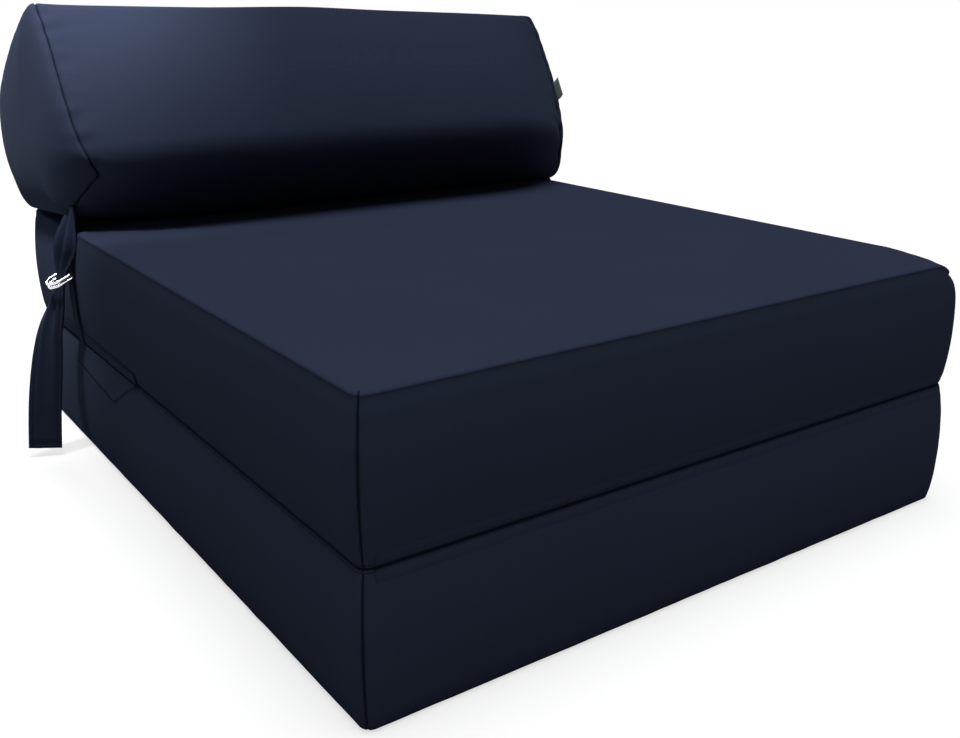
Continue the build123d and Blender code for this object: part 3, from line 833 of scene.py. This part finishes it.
FLAP_THICKNESS, PATCH_THICKNESS, LABEL_THICKNESS = 0.0013, 0.0005, 0.0007
flap_low, flap_high = node_box("zip_placket")
FLAP_FRONT, FLAP_REAR = flap_low[1], flap_high[1]
FLAP_FOOT, FLAP_TOP = 0.1510, flap_high[2]
FLAP_ROWS = (0, 0.06, 0.2, 0.4, 0.6, 0.76, 0.9, 0.97, 1)
FLAP_COLUMNS = 61
flap_grid = []
for up in FLAP_ROWS:
    z = FLAP_FOOT + (FLAP_TOP - FLAP_FOOT) * up
    line = []
    for column in range(FLAP_COLUMNS):
        y = FLAP_FRONT + (FLAP_REAR - FLAP_FRONT) * (column / (FLAP_COLUMNS - 1))
        point, normal = left_wall(y, z, *UPPER)
        lift = 0.0003 * wave((y, z, 0), 0.03, 41.0)
        line.append((tuple(Vector(point) + Vector(normal) * lift), normal))
    flap_grid.append(line[::-1])
verts, faces = sheet_form(flap_grid, FLAP_THICKNESS)
flap_shade = []
for index in range(len(verts)):
    row, column = divmod(index % (len(FLAP_ROWS) * FLAP_COLUMNS), FLAP_COLUMNS)
    flap_shade.append(0.85 if row >= len(FLAP_ROWS) - 2 or column in (0, FLAP_COLUMNS - 1) else 0.0)
flap = mesh_piece("side_flap", verts, faces, flap_shade)
wear(flap, cover_cloth)
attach(flap, "upper_slab")
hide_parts("zip_placket")

# The patch's front end, its lowest corner and the foot of its rear side, as y and height
PATCH_FRONT, PATCH_TOP = 0.041, 0.1490
PATCH_TIP, PATCH_LOWEST, PATCH_HEEL = (PATCH_FRONT, PATCH_TOP), (0.1193, 0.105), (0.276, 0.1185)
PATCH_REAR = PATCH_HEEL[0]
PATCH_ROWS = (0, 0.05, 0.15, 0.3, 0.5, 0.7, 0.85, 0.95, 1)
PATCH_COLUMNS = 48


def patch_low(y):
    """The lower edge of the stitched patch."""
    (y0, z0), (y1, z1), (y2, z2) = PATCH_TIP, PATCH_LOWEST, PATCH_HEEL
    if y < y1:
        return z0 + (z1 - z0) * (y - y0) / (y1 - y0)
    return z1 + (z2 - z1) * (y - y1) / (y2 - y1)


patch_grid = []
for up in PATCH_ROWS:
    line = []
    for column in range(PATCH_COLUMNS):
        y = PATCH_FRONT + 0.002 + (PATCH_REAR - PATCH_FRONT - 0.002) * column / (PATCH_COLUMNS - 1)
        low_edge = patch_low(y)
        line.append(left_wall(y, low_edge + (PATCH_TOP - low_edge) * up, *LOWER))
    patch_grid.append(line[::-1])
verts, faces = sheet_form(patch_grid, PATCH_THICKNESS)
patch = mesh_piece("side_patch", verts, faces)
wear(patch, cover_cloth)
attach(patch, "lower_slab")
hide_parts("lower_side_patch")

verts, faces = sheet_form(bare_label(), LABEL_THICKNESS)
# Painted shade on the tab's base, where it comes out of the end seam
base_shade = [0.9 if index % LABEL_COLUMNS < 4 else 0.0 for index in range(len(verts))]
tab = mesh_piece("bare_label", verts, faces, base_shade)
wear(tab, label_cloth)
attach(tab, "bolster")
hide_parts("blank_label")


def stitched(name, body, points, normals):
    """Thread stitches along a line, as one piece that rides on the body."""
    verts, faces = join_parts([stitch_line(points, normals)])
    made = mesh_piece(name, verts, faces)
    wear(made, thread)
    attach(made, body)


def wall_line(corners, low, high, lift):
    """Points and normals along straight runs between (y, z) corners of the left wall."""
    steps = 24
    points, normals = [], []
    for (ya, za), (yb, zb) in zip(corners, corners[1:]):
        for step in range(steps + 1):
            share = step / steps
            point, normal = left_wall(ya + (yb - ya) * share, za + (zb - za) * share, low, high)
            points.append(tuple(Vector(point) + Vector(normal) * lift))
            normals.append(normal)
    keep = [0]
    keep += [i for i in range(1, len(points)) if (Vector(points[i]) - Vector(points[i - 1])).length > 1e-6]
    return [points[i] for i in keep], [normals[i] for i in keep]


# Stitches a little inside the rims
flap_line = [
    (FLAP_FRONT + 0.003, FLAP_FOOT + 0.002), (FLAP_FRONT + 0.003, FLAP_TOP - 0.003),
    (FLAP_REAR - 0.003, FLAP_TOP - 0.003), (FLAP_REAR - 0.003, FLAP_FOOT + 0.002),
]
stitched("side_flap_stitches", "upper_slab", *wall_line(flap_line, *UPPER, 0.0014))
patch_line = [
    (PATCH_FRONT + 0.006, PATCH_TOP - 0.001), (PATCH_LOWEST[0] + 0.001, PATCH_LOWEST[1] + 0.0028),
    (PATCH_REAR - 0.003, PATCH_HEEL[1] + 0.0028), (PATCH_REAR - 0.003, PATCH_TOP - 0.001),
]
stitched("side_patch_stitches", "lower_slab", *wall_line(patch_line, *LOWER, 0.0006))


# Cloth hinge along the front
HINGE_HALF_HEIGHT, HINGE_HALF_WIDTH = 0.0155, HALF_WIDTH - 0.0125
HINGE_THICKNESS, HINGE_DIP = 0.0011, 0.0022
HINGE_SHARES = (0.08, 0.16, 0.28, 0.42, 0.6, 0.8, 0.93, 1)


def hinge_strip():
    """One strip of cloth over the front fold, hugging both slabs' walls and dipping into the crease, with
    painted shade along the crease.
    """
    outer = []
    for share in [-share for share in reversed(HINGE_SHARES)] + [0] + list(HINGE_SHARES):
        z = FOLD_HEIGHT + HINGE_HALF_HEIGHT * share
        low, high = UPPER if share > 0 else LOWER
        base = swell_at(min(max(z, low + 1e-5), high - 1e-5), low, high)
        rim = 0.0004 - 0.0010 * ease((abs(share) - 0.6) / 0.4)
        dip = HINGE_DIP * math.exp(-(share / 0.15) ** 2)
        outer.append((base + rim - dip, z))
    ring = outer + [(out - HINGE_THICKNESS, z) for out, z in reversed(outer)]
    verts, seam_and_shade_marks = [], []
    steps = 150
    for step in range(steps + 1):
        x = -HINGE_HALF_WIDTH + 2 * HINGE_HALF_WIDTH * step / steps
        for out, z in ring:
            ripple = 0.0003 * wave((x, 0, z), 0.03, 51.0) * (1 - math.exp(-abs(z - FOLD_HEIGHT) / 0.004))
            verts.append((x, -(HALF_LENGTH + out + ripple), z))
            # Painted shade in a narrow band along the crease at the fold height
            seam_and_shade_marks.append(0.8 * math.exp(-((z - FOLD_HEIGHT) / 0.0024) ** 2))
    return verts, skin_faces(steps + 1, len(ring)), seam_and_shade_marks


verts, faces, seam_and_shade_marks = hinge_strip()
hinge = mesh_piece("fold_strip", verts, turned_over(faces), seam_and_shade_marks)
wear(hinge, cover_cloth)
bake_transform(hinge)
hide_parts("hinge_strip_upper_half", "hinge_strip_lower_half")


# Zips on the rear
# Each zip's name, its body and the roundness of the wall that it lies on
ZIPS = (("upper", "upper_slab", 0.40), ("lower", "lower_slab", 0.40), ("bolster", "bolster", 0.084))
TAPE_HALF = node_box("upper_zip_tape")[1][0]
TEETH_HALF, TEETH_PITCH = 0.294, 0.00125


def zip_place(y_wall, z_mid, radius):
    """A function from (across, lift) to (y, z) on a rear wall of the given roundness."""
    def place(across, lift):
        angle = across / radius
        return y_wall - radius + (radius + lift) * math.cos(angle), z_mid + (radius + lift) * math.sin(angle)

    return place


def zip_tape(place):
    """The woven tape with a folded lip of cover along each edge."""
    profile = [(-0.0175, 0.0), (-0.0170, 0.0010), (-0.0155, 0.0016), (-0.0135, 0.0014), (-0.0128, 0.0006)]
    profile += [(-0.0100, 0.0005), (-0.0060, 0.0006), (0.0, 0.0007), (0.0060, 0.0006), (0.0100, 0.0005)]
    profile += [(-across, lift) for across, lift in profile[4::-1]]
    ring = profile + [(across, -0.0006) for across, lift in reversed(profile)]
    verts, seam_and_shade_marks = [], []
    steps = 100
    for step in range(steps + 1):
        x = -TAPE_HALF + 2 * TAPE_HALF * step / steps
        for across, lift in ring:
            y, z = place(across, lift + (0.0002 * wave((x, across, 0), 0.02, 61.0) if lift > 0 else 0))
            verts.append((x, y, z))
            seam_and_shade_marks.append(1.0 if abs(abs(across) - 0.0128) < 0.0004 and lift > 0 else 0.0)
    return verts, skin_faces(steps + 1, len(ring)), seam_and_shade_marks


def zip_teeth(place):
    """Interlocked coil turns: slanted beads from both sides of the middle."""
    parts = []
    for index in range(int(2 * TEETH_HALF / TEETH_PITCH)):
        x = -TEETH_HALF + TEETH_PITCH * index
        for side in (-1, 1):
            verts = []
            shift = TEETH_PITCH / 2 if side > 0 else 0.0
            for share, wide, top in ((0.02, 0.7, 0.7), (0.35, 1.0, 1.0), (1.0, 0.8, 0.75)):
                across = side * share * 0.0025
                slant = shift + share * TEETH_PITCH * 0.55
                side_lift, middle_lift = 0.0017 * top, 0.0023 * top
                bead = ((-0.5, 0.0006), (-0.5, side_lift), (0, middle_lift), (0.5, side_lift), (0.5, 0.0006))
                for dx, lift in bead:
                    y, z = place(across, lift)
                    verts.append((x + slant + dx * TEETH_PITCH * 0.8 * wide, y, z))
            faces = skin_faces(3, 5)
            parts.append((verts, faces if side > 0 else turned_over(faces)))
    return join_parts(parts)


for word, body, radius in ZIPS:
    low, high = node_box(word + "_zip_tape")
    place = zip_place(high[1], (low[2] + high[2]) / 2, radius)
    verts, faces, seam_and_shade_marks = zip_tape(place)
    tape = mesh_piece(word + "_tape", verts, faces, seam_and_shade_marks)
    wear(tape, tape_cloth)
    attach(tape, body)
    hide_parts(word + "_zip_tape")
    verts, faces = zip_teeth(place)
    teeth = mesh_piece(word + "_teeth", verts, faces)
    wear(teeth, coil_nylon)
    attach(teeth, body)
    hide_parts(word + "_zip_coil")


# Camera, light and floor
PHOTO_WIDTH = 960.0
FOCAL_PIXELS = 1088.17
CENTRE_SHIFT = (-8.31, -66.67)
CAMERA_PLACE = (-0.7747, -1.1881, 0.5838)
CAMERA_YAW, CAMERA_PITCH, CAMERA_ROLL = 0.6107, 0.264, 0.0013


def make_camera():
    """A camera from its yaw to the right of +Y, its pitch down and its roll."""
    yaw, pitch, roll = CAMERA_YAW, CAMERA_PITCH, CAMERA_ROLL
    forward = Vector((math.sin(yaw) * math.cos(pitch), math.cos(yaw) * math.cos(pitch), -math.sin(pitch)))
    right = Vector((math.cos(yaw), -math.sin(yaw), 0))
    up = right.cross(forward)
    turned = math.cos(roll) * right + math.sin(roll) * up
    raised = -math.sin(roll) * right + math.cos(roll) * up
    data = bpy.data.cameras.new("camera")
    data.sensor_width = 36.0
    data.lens = FOCAL_PIXELS / PHOTO_WIDTH * data.sensor_width
    data.shift_x = -CENTRE_SHIFT[0] / PHOTO_WIDTH
    data.shift_y = CENTRE_SHIFT[1] / PHOTO_WIDTH
    data.clip_start = 0.05
    camera = bpy.data.objects.new("camera", data)
    bpy.context.scene.collection.objects.link(camera)
    axes = Matrix((turned, raised, -forward)).transposed().to_4x4()
    camera.matrix_world = Matrix.Translation(CAMERA_PLACE) @ axes
    bpy.context.scene.camera = camera


def lamp(kind, name, place, target, energy, size, cone=None):
    """A lamp at a place, turned to a target."""
    data = bpy.data.lights.new(name, kind)
    data.energy = energy
    if kind == "SUN":
        data.angle = size
    elif kind == "SPOT":
        data.shadow_soft_size = size
        data.spot_size = cone
        data.spot_blend = 0.5
    else:
        data.shape = "DISK"
        data.size = size
    made = bpy.data.objects.new(name, data)
    bpy.context.scene.collection.objects.link(made)
    made.location = place
    made.rotation_euler = (Vector(target) - Vector(place)).to_track_quat("-Z", "Y").to_euler()


def seen_mix(tree, plain, shown):
    """A shader that is shown to camera, glossy and transmission rays, and plain to the rest."""
    path = tree.nodes.new("ShaderNodeLightPath")
    seen = calculate(tree, "MAXIMUM", path.outputs["Is Camera Ray"], path.outputs["Is Glossy Ray"])
    seen = calculate(tree, "MAXIMUM", seen, path.outputs["Is Transmission Ray"])
    mixed = tree.nodes.new("ShaderNodeMixShader")
    link(tree, seen, mixed.inputs[0])
    link(tree, plain, mixed.inputs[1])
    link(tree, shown, mixed.inputs[2])
    return mixed.outputs[0]


def make_world():
    """A dim sky for the light, and plain white where it is seen."""
    world = bpy.data.worlds.new("world")
    world.use_nodes = True
    tree = world.node_tree
    dim = tree.nodes["Background"]
    dim.inputs["Color"].default_value = (0.9, 0.95, 1.0, 1)
    dim.inputs["Strength"].default_value = 0.22
    white = node(tree, "ShaderNodeBackground", Color=(1, 1, 1, 1), Strength=1.0)
    mixed = seen_mix(tree, dim.outputs[0], white.outputs[0])
    link(tree, mixed, tree.nodes["World Output"].inputs["Surface"])
    bpy.context.scene.world = world


def make_floor():
    """A pale floor that shows white with the object's shadow on it."""
    reach, shadow_share = 14.0, 0.35
    corners = [(-reach, -reach, 0), (reach, -reach, 0), (reach, reach, 0), (-reach, reach, 0)]
    floor = mesh_piece("floor", corners, [(0, 1, 2, 3)])
    floor.location.z = -0.0004
    material, tree, matt = new_material("pale_floor")
    matt.inputs["Base Color"].default_value = (0.36, 0.36, 0.36, 1)
    matt.inputs["Roughness"].default_value = 0.8
    pale = node(tree, "ShaderNodeBsdfDiffuse", Color=(0.62, 0.62, 0.62, 1))
    glow = node(tree, "ShaderNodeEmission", Color=(1, 1, 1, 1), Strength=1.0)
    shown = tree.nodes.new("ShaderNodeMixShader")
    shown.inputs[0].default_value = shadow_share
    link(tree, glow.outputs[0], shown.inputs[1])
    link(tree, pale.outputs[0], shown.inputs[2])
    mixed = seen_mix(tree, matt.outputs[0], shown.outputs[0])
    link(tree, mixed, tree.nodes["Material Output"].inputs["Surface"])
    wear(floor, material)


make_camera()
make_world()
make_floor()
lamp("SUN", "overhead", (0.0, -0.15, 4.0), (0.05, 0.1, 0.0), 4.7, math.radians(38))
lamp("SPOT", "bolster_top", (-0.85, 0.05, 2.3), (-0.39, 0.37, 0.62), 440.0, 0.10, cone=math.radians(15))
lamp("SPOT", "bolster_end", (-1.85, 0.20, 0.8), (-0.42, 0.37, 0.46), 13.0, 0.08, cone=math.radians(15))
lamp("AREA", "rear_left", (-0.50, 2.4, 0.75), (-0.4, 0.45, 0.2), 28.0, 0.5)

# Looks of the nodes that no piece replaces
PLAIN_NODES = (
    ("slider", zinc), ("pull", zinc), ("d_ring", plated), ("foam", foam), ("filling", wadding),
    ("tape", tape_cloth), ("coil", coil_nylon), ("label", label_cloth), ("ring_strap", webbing_cloth),
    ("", cover_cloth),
)
for name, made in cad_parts.items():
    wear(made, next(material for word, material in PLAIN_NODES if word in name))

bpy.context.scene.view_settings.view_transform = "Standard"
